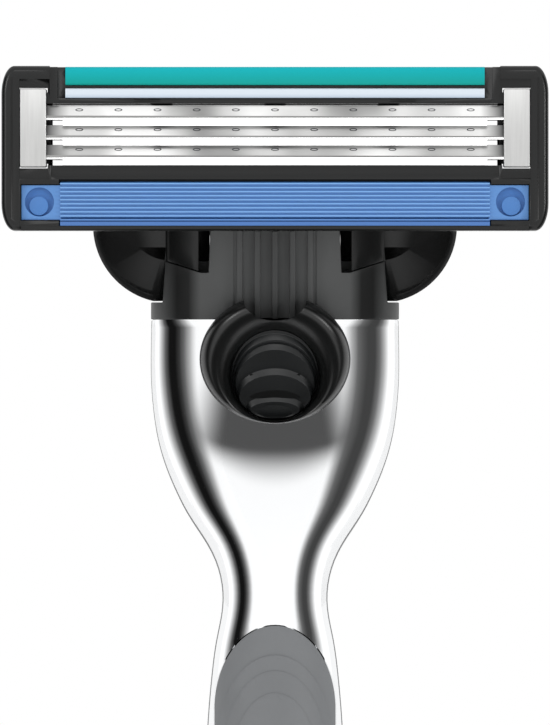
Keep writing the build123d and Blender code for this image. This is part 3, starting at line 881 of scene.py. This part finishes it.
class RAZOR_OT_release_button(bpy.types.Operator):
    """Gloss black release button: a dished ring with a notch at its top"""

    bl_idname = "razor.release_button"
    bl_label = "Release button"

    def execute(self, context):
        profile = [
            (0.0, 3.2), (0.0, 4.9), (0.015, 5.35), (0.05, 5.8), (0.11, 6.2), (0.2, 6.52),
            (0.31, 6.71), (0.43, 6.78), (0.55, 6.72), (0.67, 6.55), (0.78, 6.3), (0.88, 6.0),
            (0.95, 5.7), (1.0, 5.45), (1.0, 5.12),
        ]
        button = oval_rings([button_ring(share, out) for share, out in profile], 96)
        begin_edit(button)
        close_rim(lambda v: v.co.z > 5.11 * MM and v.co.z < 5.13 * MM)
        close_rim(lambda v: v.co.z < 3.21 * MM)
        face_outward()
        end_edit()
        to_neck(button)
        cut(button, self.notch())
        cut(button, self.neck_clearance())
        modify(button, "BEVEL", width=0.08 * MM, segments=2, limit_method="ANGLE",
               angle_limit=math.radians(50))
        smooth(button, 45)
        stem = neck_bar((-1.9, 7.4, 3.2), (1.9, 9.4, 5.3))
        cut(button, stem, "UNION")
        hand_over(button, "release_button_ring", "button", "black_gloss",
                  [finish("polished_black_abs")], "release_button")
        return {"FINISHED"}

    def notch(self):
        """The round notch that the ribs run into."""
        deselect()
        bpy.ops.mesh.primitive_cylinder_add(
            vertices=64, radius=1.0, depth=0.06, location=(0, -0.012, 22.9 * MM),
            rotation=(math.pi / 2, 0, 0))
        tool = bpy.context.object
        tool.scale = (2.37 * MM, 1.5 * MM, 1)
        settle(tool)
        return tool

    def neck_clearance(self):
        """The neck's own form, a little larger, that the button slides over."""
        deselect()
        wide, deep = SECTIONS[-1][1] + 0.16, SECTIONS[-1][2] + 0.16
        low, high = 5.0, 32.0
        bpy.ops.mesh.primitive_cylinder_add(vertices=128, radius=1.0, depth=1.0, location=(0, 0, 0))
        tool = bpy.context.object
        tool.scale = (wide * MM, deep * MM, (high - low) * MM)
        tool.location = (0, (NECK_Y - ((low + high) / 2 - NECK_Z) * math.tan(LEAN)) * MM,
                         (low + high) / 2 * MM)
        settle(tool)
        shift = (high - low) * math.tan(LEAN) * MM
        begin_edit(tool)
        pick("verts", lambda v: v.co.z > 20 * MM)
        bpy.ops.transform.translate(value=(0, -shift / 2, 0))
        pick("verts", lambda v: v.co.z < 20 * MM)
        bpy.ops.transform.translate(value=(0, shift / 2, 0))
        end_edit()
        return tool


class RAZOR_OT_thumb_pad(bpy.types.Operator):
    """Stepped thumb pad on the button's floor, its arches stacked towards the bottom"""

    bl_idname = "razor.thumb_pad"
    bl_label = "Thumb pad"

    def execute(self, context):
        # Each oval: half width, height of its top and bottom as seen square on, distance out.
        # Every step rises steeply to its lip and then falls slowly towards the next one.
        ovals = [
            (3.33, 20.66, 13.74, 5.14), (3.33, 20.66, 13.74, 5.18), (3.26, 20.42, 13.78, 5.18),
            (3.16, 19.92, 13.82, 5.62), (3.12, 19.62, 13.84, 5.26), (3.0, 19.17, 13.86, 5.66),
            (2.92, 17.75, 13.88, 5.2), (2.72, 17.25, 13.9, 5.62), (2.2, 15.65, 13.92, 5.18),
            (1.9, 15.2, 13.94, 5.58), (1.4, 14.95, 13.97, 5.5), (1.3, 14.85, 14.0, 5.52),
        ]
        rings = [self.oval(wide, (top - foot) / 2, (top + foot) / 2, out)
                 for wide, top, foot, out in ovals]
        pad = oval_rings(rings, 72)
        begin_edit(pad)
        close_rim(lambda v: v.co.z < 5.141 * MM and v.co.z > 5.139 * MM)
        close_rim(lambda v: abs(v.co.z - 5.52 * MM) < 1e-7)
        face_outward()
        end_edit()
        to_neck(pad)
        round_edges(pad, 0.04 * MM, 2, 25)
        smooth(pad, 30)
        hand_over(pad, "thumb_pad", "button", "pad_elastomer",
                  [finish("moulded_pad_elastomer")], "button_pad")
        return {"FINISHED"}

    def oval(self, wide, high, middle, out):
        return (wide, high / math.cos(LEAN), up_for(middle, out), out)


class RAZOR_OT_yoke(bpy.types.Operator):
    """Black connecting yoke with its two curved wings"""

    bl_idname = "razor.yoke"
    bl_label = "Yoke"

    def execute(self, context):
        yoke = clean_copy("interconnect", 0)
        modify(yoke, "BEVEL", width=0.1 * MM, segments=2, limit_method="ANGLE",
               angle_limit=math.radians(40))
        smooth(yoke, 32)
        hand_over(yoke, "connecting_yoke", "yoke", "black_nylon",
                  [finish("moulded_frame_nylon")], "interconnect")
        return {"FINISHED"}


class RAZOR_OT_cartridge_frame(bpy.types.Operator):
    """Black moulded frame of the cartridge with rounded ends and a groove round each end"""

    bl_idname = "razor.cartridge_frame"
    bl_label = "Cartridge frame"

    def execute(self, context):
        housing = clean_copy("housing", 0)
        cut(housing, self.rounded_block(), "INTERSECT")
        for side in (-1, 1):
            x = sorted((side * 19.88, side * 20.04))
            groove = bar((x[0], FACE_Y - 1, CART_TOP - 11.6), (x[1], FACE_Y + 0.1, CART_TOP - 0.9))
            cut(housing, groove)
        modify(housing, "BEVEL", width=context.scene.razor_sizes.moulded_edge, segments=2,
               limit_method="ANGLE", angle_limit=math.radians(45))
        smooth(housing, 32)
        hand_over(housing, "cartridge_frame", "cartridge", "black_nylon",
                  [finish("moulded_frame_nylon")], "housing")
        return {"FINISHED"}


    def rounded_block(self):
        """A block round the frame whose corners are oval and whose front rim is rounded."""
        over, squash = 0.01, 2.1
        block = bar((-20.75 - over, FACE_Y - 0.2 - over, (-6.25 - over) / squash),
                    (20.75 + over, 5.0, (6.25 + over) / squash))
        begin_edit(block, "EDGE")
        pick("edges", lambda e: abs((e.verts[0].co - e.verts[1].co).normalized().y) > 0.9)
        bpy.ops.mesh.bevel(offset=1.0 * MM, segments=10, clamp_overlap=True)
        bpy.ops.mesh.select_all(action="SELECT")
        bpy.ops.transform.resize(value=(1, 1, squash), center_override=(0, 0, 0))
        bpy.ops.transform.translate(value=(0, 0, (CART_TOP - 6.25) * MM))
        bpy.ops.mesh.select_all(action="DESELECT")
        front = (FACE_Y - 0.2 - over) * MM
        pick("edges", lambda e: all(abs(v.co.y - front) < 1e-7 for v in e.verts))
        bpy.ops.mesh.bevel(offset=0.5 * MM, segments=6, clamp_overlap=True)
        end_edit()
        return block


class RAZOR_OT_guard(bpy.types.Operator):
    """Blue guard with ten fins, a ledge and two round-welled end pads"""

    bl_idname = "razor.guard"
    bl_label = "Guard"

    def execute(self, context):
        guard = clean_copy("guard")
        # Drawn shallower than the frame's guard: a bar fills the feet of the fins, to lighten them.
        filler = bar((-16.2, FACE_Y + 0.3, CART_TOP - 11.5), (16.2, FACE_Y + 0.6, CART_TOP - 8.95))
        cut(guard, filler, "UNION")
        round_edges(guard, 0.02 * MM, 2, 30)
        smooth(guard, 40)
        hand_over(guard, "finned_guard", "cartridge", "blue_elastomer",
                  [finish("overmoulded_blue_elastomer")], "guard")
        return {"FINISHED"}


class RAZOR_OT_strips(bpy.types.Operator):
    """Teal lubricating strip and the pale strip under it"""

    bl_idname = "razor.strips"
    bl_label = "Lubricating strips"

    def execute(self, context):
        for node, name, slot, look in (
            ("lubricating_strip", "teal_strip_bar", "teal_strip", "extruded_teal_polymer"),
            ("comfort_strip", "pale_strip_bar", "pale_strip", "extruded_pale_polymer"),
        ):
            strip = clean_copy(node)
            smooth(strip, 40)
            hand_over(strip, name, "cartridge", slot, [finish(look)], node)
        return {"FINISHED"}


class RAZOR_OT_clips(bpy.types.Operator):
    """Satin metal clips folded round the cartridge's ends"""

    bl_idname = "razor.clips"
    bl_label = "Clips"

    def execute(self, context):
        for side in ("left", "right"):
            clip = clean_copy(f"clip_{side}")
            round_edges(clip, context.scene.razor_sizes.clip_edge, 3, 40)
            smooth(clip, 40)
            hand_over(clip, f"folded_clip_{side}", "cartridge", "clip_metal",
                      [finish("satin_aluminium_strip")], f"clip_{side}")
        return {"FINISHED"}


class RAZOR_OT_blades(bpy.types.Operator):
    """Three ground blades, each with its honed bevel and eleven laser welds"""

    bl_idname = "razor.blades"
    bl_label = "Blades"

    def execute(self, context):
        looks = [finish(name) for name in
                 ("ground_blade_steel", "honed_bevel_steel", "laser_weld_tint", "laser_weld_pool",
                  "etched_step_steel")]
        first = self.blade()
        for index in range(3):
            blade = first.copy()
            blade.data = first.data.copy()
            context.scene.collection.objects.link(blade)
            blade.rotation_euler = (math.pi / 2 - BLADE_TILT, 0, 0)
            edge_z = CART_TOP - FIRST_EDGE - index * BLADE_PITCH
            blade.location = (0, FACE_Y * MM, edge_z * MM)
            settle(blade)
            number = index + 1
            hand_over(blade, f"ground_blade_{number}", f"blade_{number}", "blade_steel",
                      looks, f"blade_{number}")
        bpy.data.objects.remove(first)
        return {"FINISHED"}

    def blade(self):
        """A blade drawn flat: across, up from its edge, out of its face."""
        deselect()
        length, height, thick = 37.2, 1.62, 0.12
        bpy.ops.mesh.primitive_plane_add(size=1, location=(0, height / 2 * MM, 0))
        blade = bpy.context.object
        blade.scale = (length * MM, height * MM, 1)
        settle(blade)
        for name in ("flat", "bevel", "tint", "pool", "step"):
            blade.data.materials.append(bpy.data.materials.new(name))
        begin_edit(blade, "FACE")
        # Lines across the blade: the honed bevel, the step above it and the corners cut away.
        for y in (0.46, 0.62, 0.72, 0.79):
            bpy.ops.mesh.select_all(action="SELECT")
            bpy.ops.mesh.bisect(plane_co=(0, y * MM, 0), plane_no=(0, 1, 0))
        for x in (-16.1, 16.1):
            bpy.ops.mesh.select_all(action="SELECT")
            bpy.ops.mesh.bisect(plane_co=(x * MM, 0, 0), plane_no=(1, 0, 0))
        pick("faces", lambda f: f.calc_center_median().y < 0.46 * MM
             and abs(f.calc_center_median().x) > 16.1 * MM)
        bpy.ops.mesh.delete(type="FACE")
        pick("faces", lambda f: f.calc_center_median().y < 0.62 * MM)
        assign(1)
        pick("faces", lambda f: 0.62 * MM < f.calc_center_median().y < 0.79 * MM)
        assign(4)
        bpy.ops.mesh.select_mode(type="VERT")
        # The step stands back from the flat above it, and the bevel falls back to the edge.
        pick("verts", lambda v: abs(v.co.y - 0.72 * MM) < 1e-7)
        bpy.ops.transform.translate(value=(0, 0, -0.05 * MM))
        pick("verts", lambda v: abs(v.co.y - 0.62 * MM) < 1e-7)
        bpy.ops.transform.translate(value=(0, 0, -0.03 * MM))
        pick("verts", lambda v: abs(v.co.y - 0.46 * MM) < 1e-7)
        bpy.ops.transform.translate(value=(0, 0, -0.035 * MM))
        pick("verts", lambda v: v.co.y < 1e-7)
        bpy.ops.transform.translate(value=(0, 0, -0.085 * MM))
        face_outward()
        end_edit()
        if blade.data.polygons[0].normal.z < 0:
            begin_edit(blade)
            bpy.ops.mesh.select_all(action="SELECT")
            bpy.ops.mesh.flip_normals()
            end_edit()
        thicken(blade, thick * 0.85 * MM)
        round_edges(blade, 0.015 * MM, 1, 50)
        smooth(blade, 8)
        for weld in range(-WELDS_EACH_SIDE, WELDS_EACH_SIDE + 1):
            self.weld(blade, weld * WELD_PITCH, 1.25)
        return blade

    def weld(self, blade, x, y):
        """One lens-shaped weld: a dark tinted rim round a shallow pool."""
        deselect()
        bpy.ops.mesh.primitive_circle_add(
            vertices=20, radius=1.0, fill_type="NGON", location=(x * MM, y * MM, 0.004 * MM))
        weld = bpy.context.object
        weld.scale = (0.3 * MM, 0.115 * MM, 1)
        settle(weld)
        for look in blade.data.materials:
            weld.data.materials.append(look)
        begin_edit(weld, "FACE")
        bpy.ops.mesh.select_all(action="SELECT")
        assign(2)
        bpy.ops.mesh.inset(thickness=0.05 * MM, depth=0)
        assign(3)
        bpy.ops.mesh.extrude_region_move(TRANSFORM_OT_translate={"value": (0, 0, -0.012 * MM)})
        bpy.ops.transform.resize(value=(0.7, 0.7, 1), center_override=(x * MM, y * MM, 0))
        bpy.ops.mesh.select_mode(type="VERT")
        pick("verts", lambda v: v.is_boundary)
        bpy.ops.mesh.extrude_region_move(TRANSFORM_OT_translate={"value": (0, 0, -0.03 * MM)})
        bpy.ops.mesh.edge_face_add()
        face_outward()
        end_edit()
        join(blade, weld)


class RAZOR_OT_hidden_mechanism(bpy.types.Operator):
    """Finishes for the pieces whose frame shape is already right"""

    bl_idname = "razor.hidden_mechanism"
    bl_label = "Hidden mechanism"

    def execute(self, context):
        looks = {
            "handle_core": "glass_filled_nylon", "ejector": "glass_filled_nylon",
            "plunger": "moulded_black_nylon", "plunger_spring": "drawn_spring_wire",
            "button_spring": "drawn_spring_wire",
        }
        for number in range(1, 4):
            looks[f"blade_support_{number}"] = "stamped_stainless_strip"
        for node, look in looks.items():
            target = frame["nodes"][node]
            target.data.materials.clear()
            target.data.materials.append(finish(look))
        return {"FINISHED"}


# --- Stage --------------------------------------------------------------------------------------


class RAZOR_OT_studio(bpy.types.Operator):
    """Pale floor, soft light, dark flags for the chrome, and the camera"""

    bl_idname = "razor.studio"
    bl_label = "Studio"

    def execute(self, context):
        self.floor()
        self.world(context.scene)
        self.flags()
        self.dark_reflection_card()
        self.lights(context.scene)
        self.camera(context.scene)
        context.scene.view_settings.view_transform = "Standard"
        context.scene.view_settings.look = "None"
        return {"FINISHED"}

    def floor(self):
        deselect()
        low_z = CAD_BOX[0].z
        bpy.ops.mesh.primitive_plane_add(size=8.0, location=(0, 0, low_z - 0.0001))
        floor = bpy.context.object
        floor.name = "studio_floor"
        made, tree = blank("painted_studio_floor")
        tone = two_tone(tree, speckle(tree, 400.0, 2.0), linear("F3F3F3"), linear("F7F7F7"))
        close(tree, Base_Color=tone, Roughness=0.6)
        floor.data.materials.append(made)

    def world(self, scene):
        scene.world = bpy.data.worlds.new("studio_surround")
        scene.world.use_nodes = True
        tree = scene.world.node_tree
        tree.nodes.clear()
        back = add(tree, "ShaderNodeBackground", {"Color": (1, 1, 1, 1), "Strength": 1.0})
        add(tree, "ShaderNodeOutputWorld", {"Surface": back.outputs[0]})

    def card(self, name, place, size, look, turn=(0, 0, 0)):
        """A flat card that shows only in polished surfaces."""
        deselect()
        bpy.ops.mesh.primitive_plane_add(size=1, location=place, rotation=turn)
        card = bpy.context.object
        card.scale = size
        settle(card)
        card.name = name
        card.data.materials.append(look)
        for ray in ("camera", "diffuse", "shadow", "transmission"):
            setattr(card, f"visible_{ray}", False)

    def flag_cloth(self, name, dark, shift):
        """Cloth that fades from black beside the razor to white in front of it."""
        made, tree = blank(name)
        side, split = from_middle(tree)
        angle = maths(tree, "ARCTAN2", split["Y"], side)
        inputs = {"Value": angle, "From Min": math.radians(-50 - shift),
                  "From Max": math.radians(30 - shift)}
        share = add(tree, "ShaderNodeMapRange", inputs).outputs[0]
        points = [(0.0, 1.0), (0.17, 0.95), (0.25, 0.4), (0.32, 0.13), (0.385, dark + 0.03),
                  (0.45, dark), (0.56, dark), (0.65, dark + 0.1), (0.75, 0.45), (0.87, 1.0)]
        shade = grey_ramp(tree, share, points)
        shine = add(tree, "ShaderNodeEmission", {"Color": shade, "Strength": 1.12})
        add(tree, "ShaderNodeOutputMaterial", {"Surface": shine.outputs[0]})
        return made

    def flags(self):
        """At each side a floor flag and a standing flag, and a grey one behind the razor."""
        for side, name, dark, shift in ((-1, "left", 0.006, 0), (1, "right", 0.05, 8)):
            cloth = self.flag_cloth(f"flag_cloth_{name}", dark, shift)
            self.card(f"floor_flag_{name}", (side * 0.19, -0.07, -0.1018), (0.24, 0.3, 1), cloth)
            self.card(f"standing_flag_{name}", (side * 0.15, -0.07, 0), (0.2, 0.34, 1), cloth,
                      (0, math.pi / 2, 0))
            grey, tree = blank(f"rear_cloth_{name}")
            shine = add(tree, "ShaderNodeEmission", {"Color": (0.25, 0.25, 0.25, 1)})
            add(tree, "ShaderNodeOutputMaterial", {"Surface": shine.outputs[0]})
            self.card(f"rear_flag_{name}", (side * 0.1, 0.3, 0), (0.07, 1, 0.4), grey,
                      (math.pi / 2, 0, 0))

    def dark_reflection_card(self):
        """A grey card close in front of the neck, seen only in reflections: a painted reflection
        that darkens the chrome under the button.
        """
        # The edge nearer the neck is a shallow curve: its bluntness (metres squared) and its slope.
        blunt, slope = 3.6e-5, -0.24
        made, tree = blank("grey_card")
        side, split = from_middle(tree)
        bend = maths(tree, "SQRT", maths(tree, "MULTIPLY_ADD", side, side, blunt))
        edge = maths(tree, "MULTIPLY_ADD", bend, slope, split["Y"])
        inputs = {"Value": edge, "From Min": -0.0182, "From Max": -0.0148,
                  "To Min": 1.0, "To Max": 0.0}
        band = add(tree, "ShaderNodeMapRange", inputs, interpolation_type="SMOOTHSTEP").outputs[0]
        inputs = {"Value": side, "From Min": 0.009, "From Max": 0.02, "To Min": 1.0, "To Max": 0.0}
        ends = add(tree, "ShaderNodeMapRange", inputs, interpolation_type="SMOOTHSTEP").outputs[0]
        cover = maths(tree, "MULTIPLY", band, ends)
        clear = add(tree, "ShaderNodeBsdfTransparent")
        shine = add(tree, "ShaderNodeEmission", {"Color": (0.085, 0.085, 0.085, 1)})
        mix = add(tree, "ShaderNodeMixShader",
                  {0: cover, 1: clear.outputs[0], 2: shine.outputs[0]})
        add(tree, "ShaderNodeOutputMaterial", {"Surface": mix.outputs[0]})
        self.card("front_card", (0, -0.032, 0.002), (0.044, 0.04, 1), made)

    def lights(self, scene):
        for name, place, size, power in (
            ("top_softbox", (0.0, -0.66, 0.34), 0.3, 0.5),
            ("left_softbox", (-0.42, -0.42, 0.14), 0.09, 0.45),
            ("right_softbox", (0.46, -0.38, 0.05), 0.09, 0.6),
        ):
            data = bpy.data.lights.new(name, "AREA")
            data.shape = "SQUARE"
            data.size = size
            data.energy = power
            lamp = bpy.data.objects.new(name, data)
            scene.collection.objects.link(lamp)
            lamp.location = place
            aim = Vector((0, -0.01, 0.0)) - Vector(place)
            lamp.rotation_euler = aim.to_track_quat("-Z", "Y").to_euler()

    def camera(self, scene):
        distance, plane_y, height, middle_z = 1.5, -0.016, 0.0553, 0.0182
        data = bpy.data.cameras.new("front_camera")
        data.sensor_width = 36.0
        data.lens = data.sensor_width * distance / height
        data.clip_start, data.clip_end = 0.05, 50.0
        camera = bpy.data.objects.new("front_camera", data)
        scene.collection.objects.link(camera)
        camera.location = (0, plane_y - distance, middle_z)
        camera.rotation_euler = (math.pi / 2, 0, 0)
        scene.camera = camera


# --- Panel and registration ---------------------------------------------------------------------

PIECES = (
    RAZOR_OT_handle_shells, RAZOR_OT_end_cap, RAZOR_OT_grips, RAZOR_OT_collar,
    RAZOR_OT_release_button, RAZOR_OT_thumb_pad, RAZOR_OT_yoke, RAZOR_OT_cartridge_frame,
    RAZOR_OT_guard, RAZOR_OT_strips, RAZOR_OT_clips, RAZOR_OT_blades,
    RAZOR_OT_hidden_mechanism, RAZOR_OT_studio,
)


class RAZOR_PT_sidebar(bpy.types.Panel):
    """Buttons that build the razor piece by piece"""

    bl_label = "Cartridge razor"
    bl_space_type = "VIEW_3D"
    bl_region_type = "UI"
    bl_category = "Razor"

    def draw(self, context):
        for piece in PIECES:
            self.layout.operator(piece.bl_idname)
        for group in (context.scene.razor_sizes, context.scene.razor_colours):
            for name in group.bl_rna.properties.keys():
                if name not in ("rna_type", "name"):
                    self.layout.prop(group, name)


CLASSES = (RazorSizes, RazorColours, *PIECES, RAZOR_PT_sidebar)


def register():
    for kind in CLASSES:
        bpy.utils.register_class(kind)
    bpy.types.Scene.razor_sizes = bpy.props.PointerProperty(type=RazorSizes)
    bpy.types.Scene.razor_colours = bpy.props.PointerProperty(type=RazorColours)


def unregister():
    del bpy.types.Scene.razor_colours
    del bpy.types.Scene.razor_sizes
    for kind in reversed(CLASSES):
        bpy.utils.unregister_class(kind)


def main():
    register()
    for piece in PIECES:
        group, name = piece.bl_idname.split(".")
        getattr(getattr(bpy.ops, group), name)()


if __name__ == "__main__":
    main()
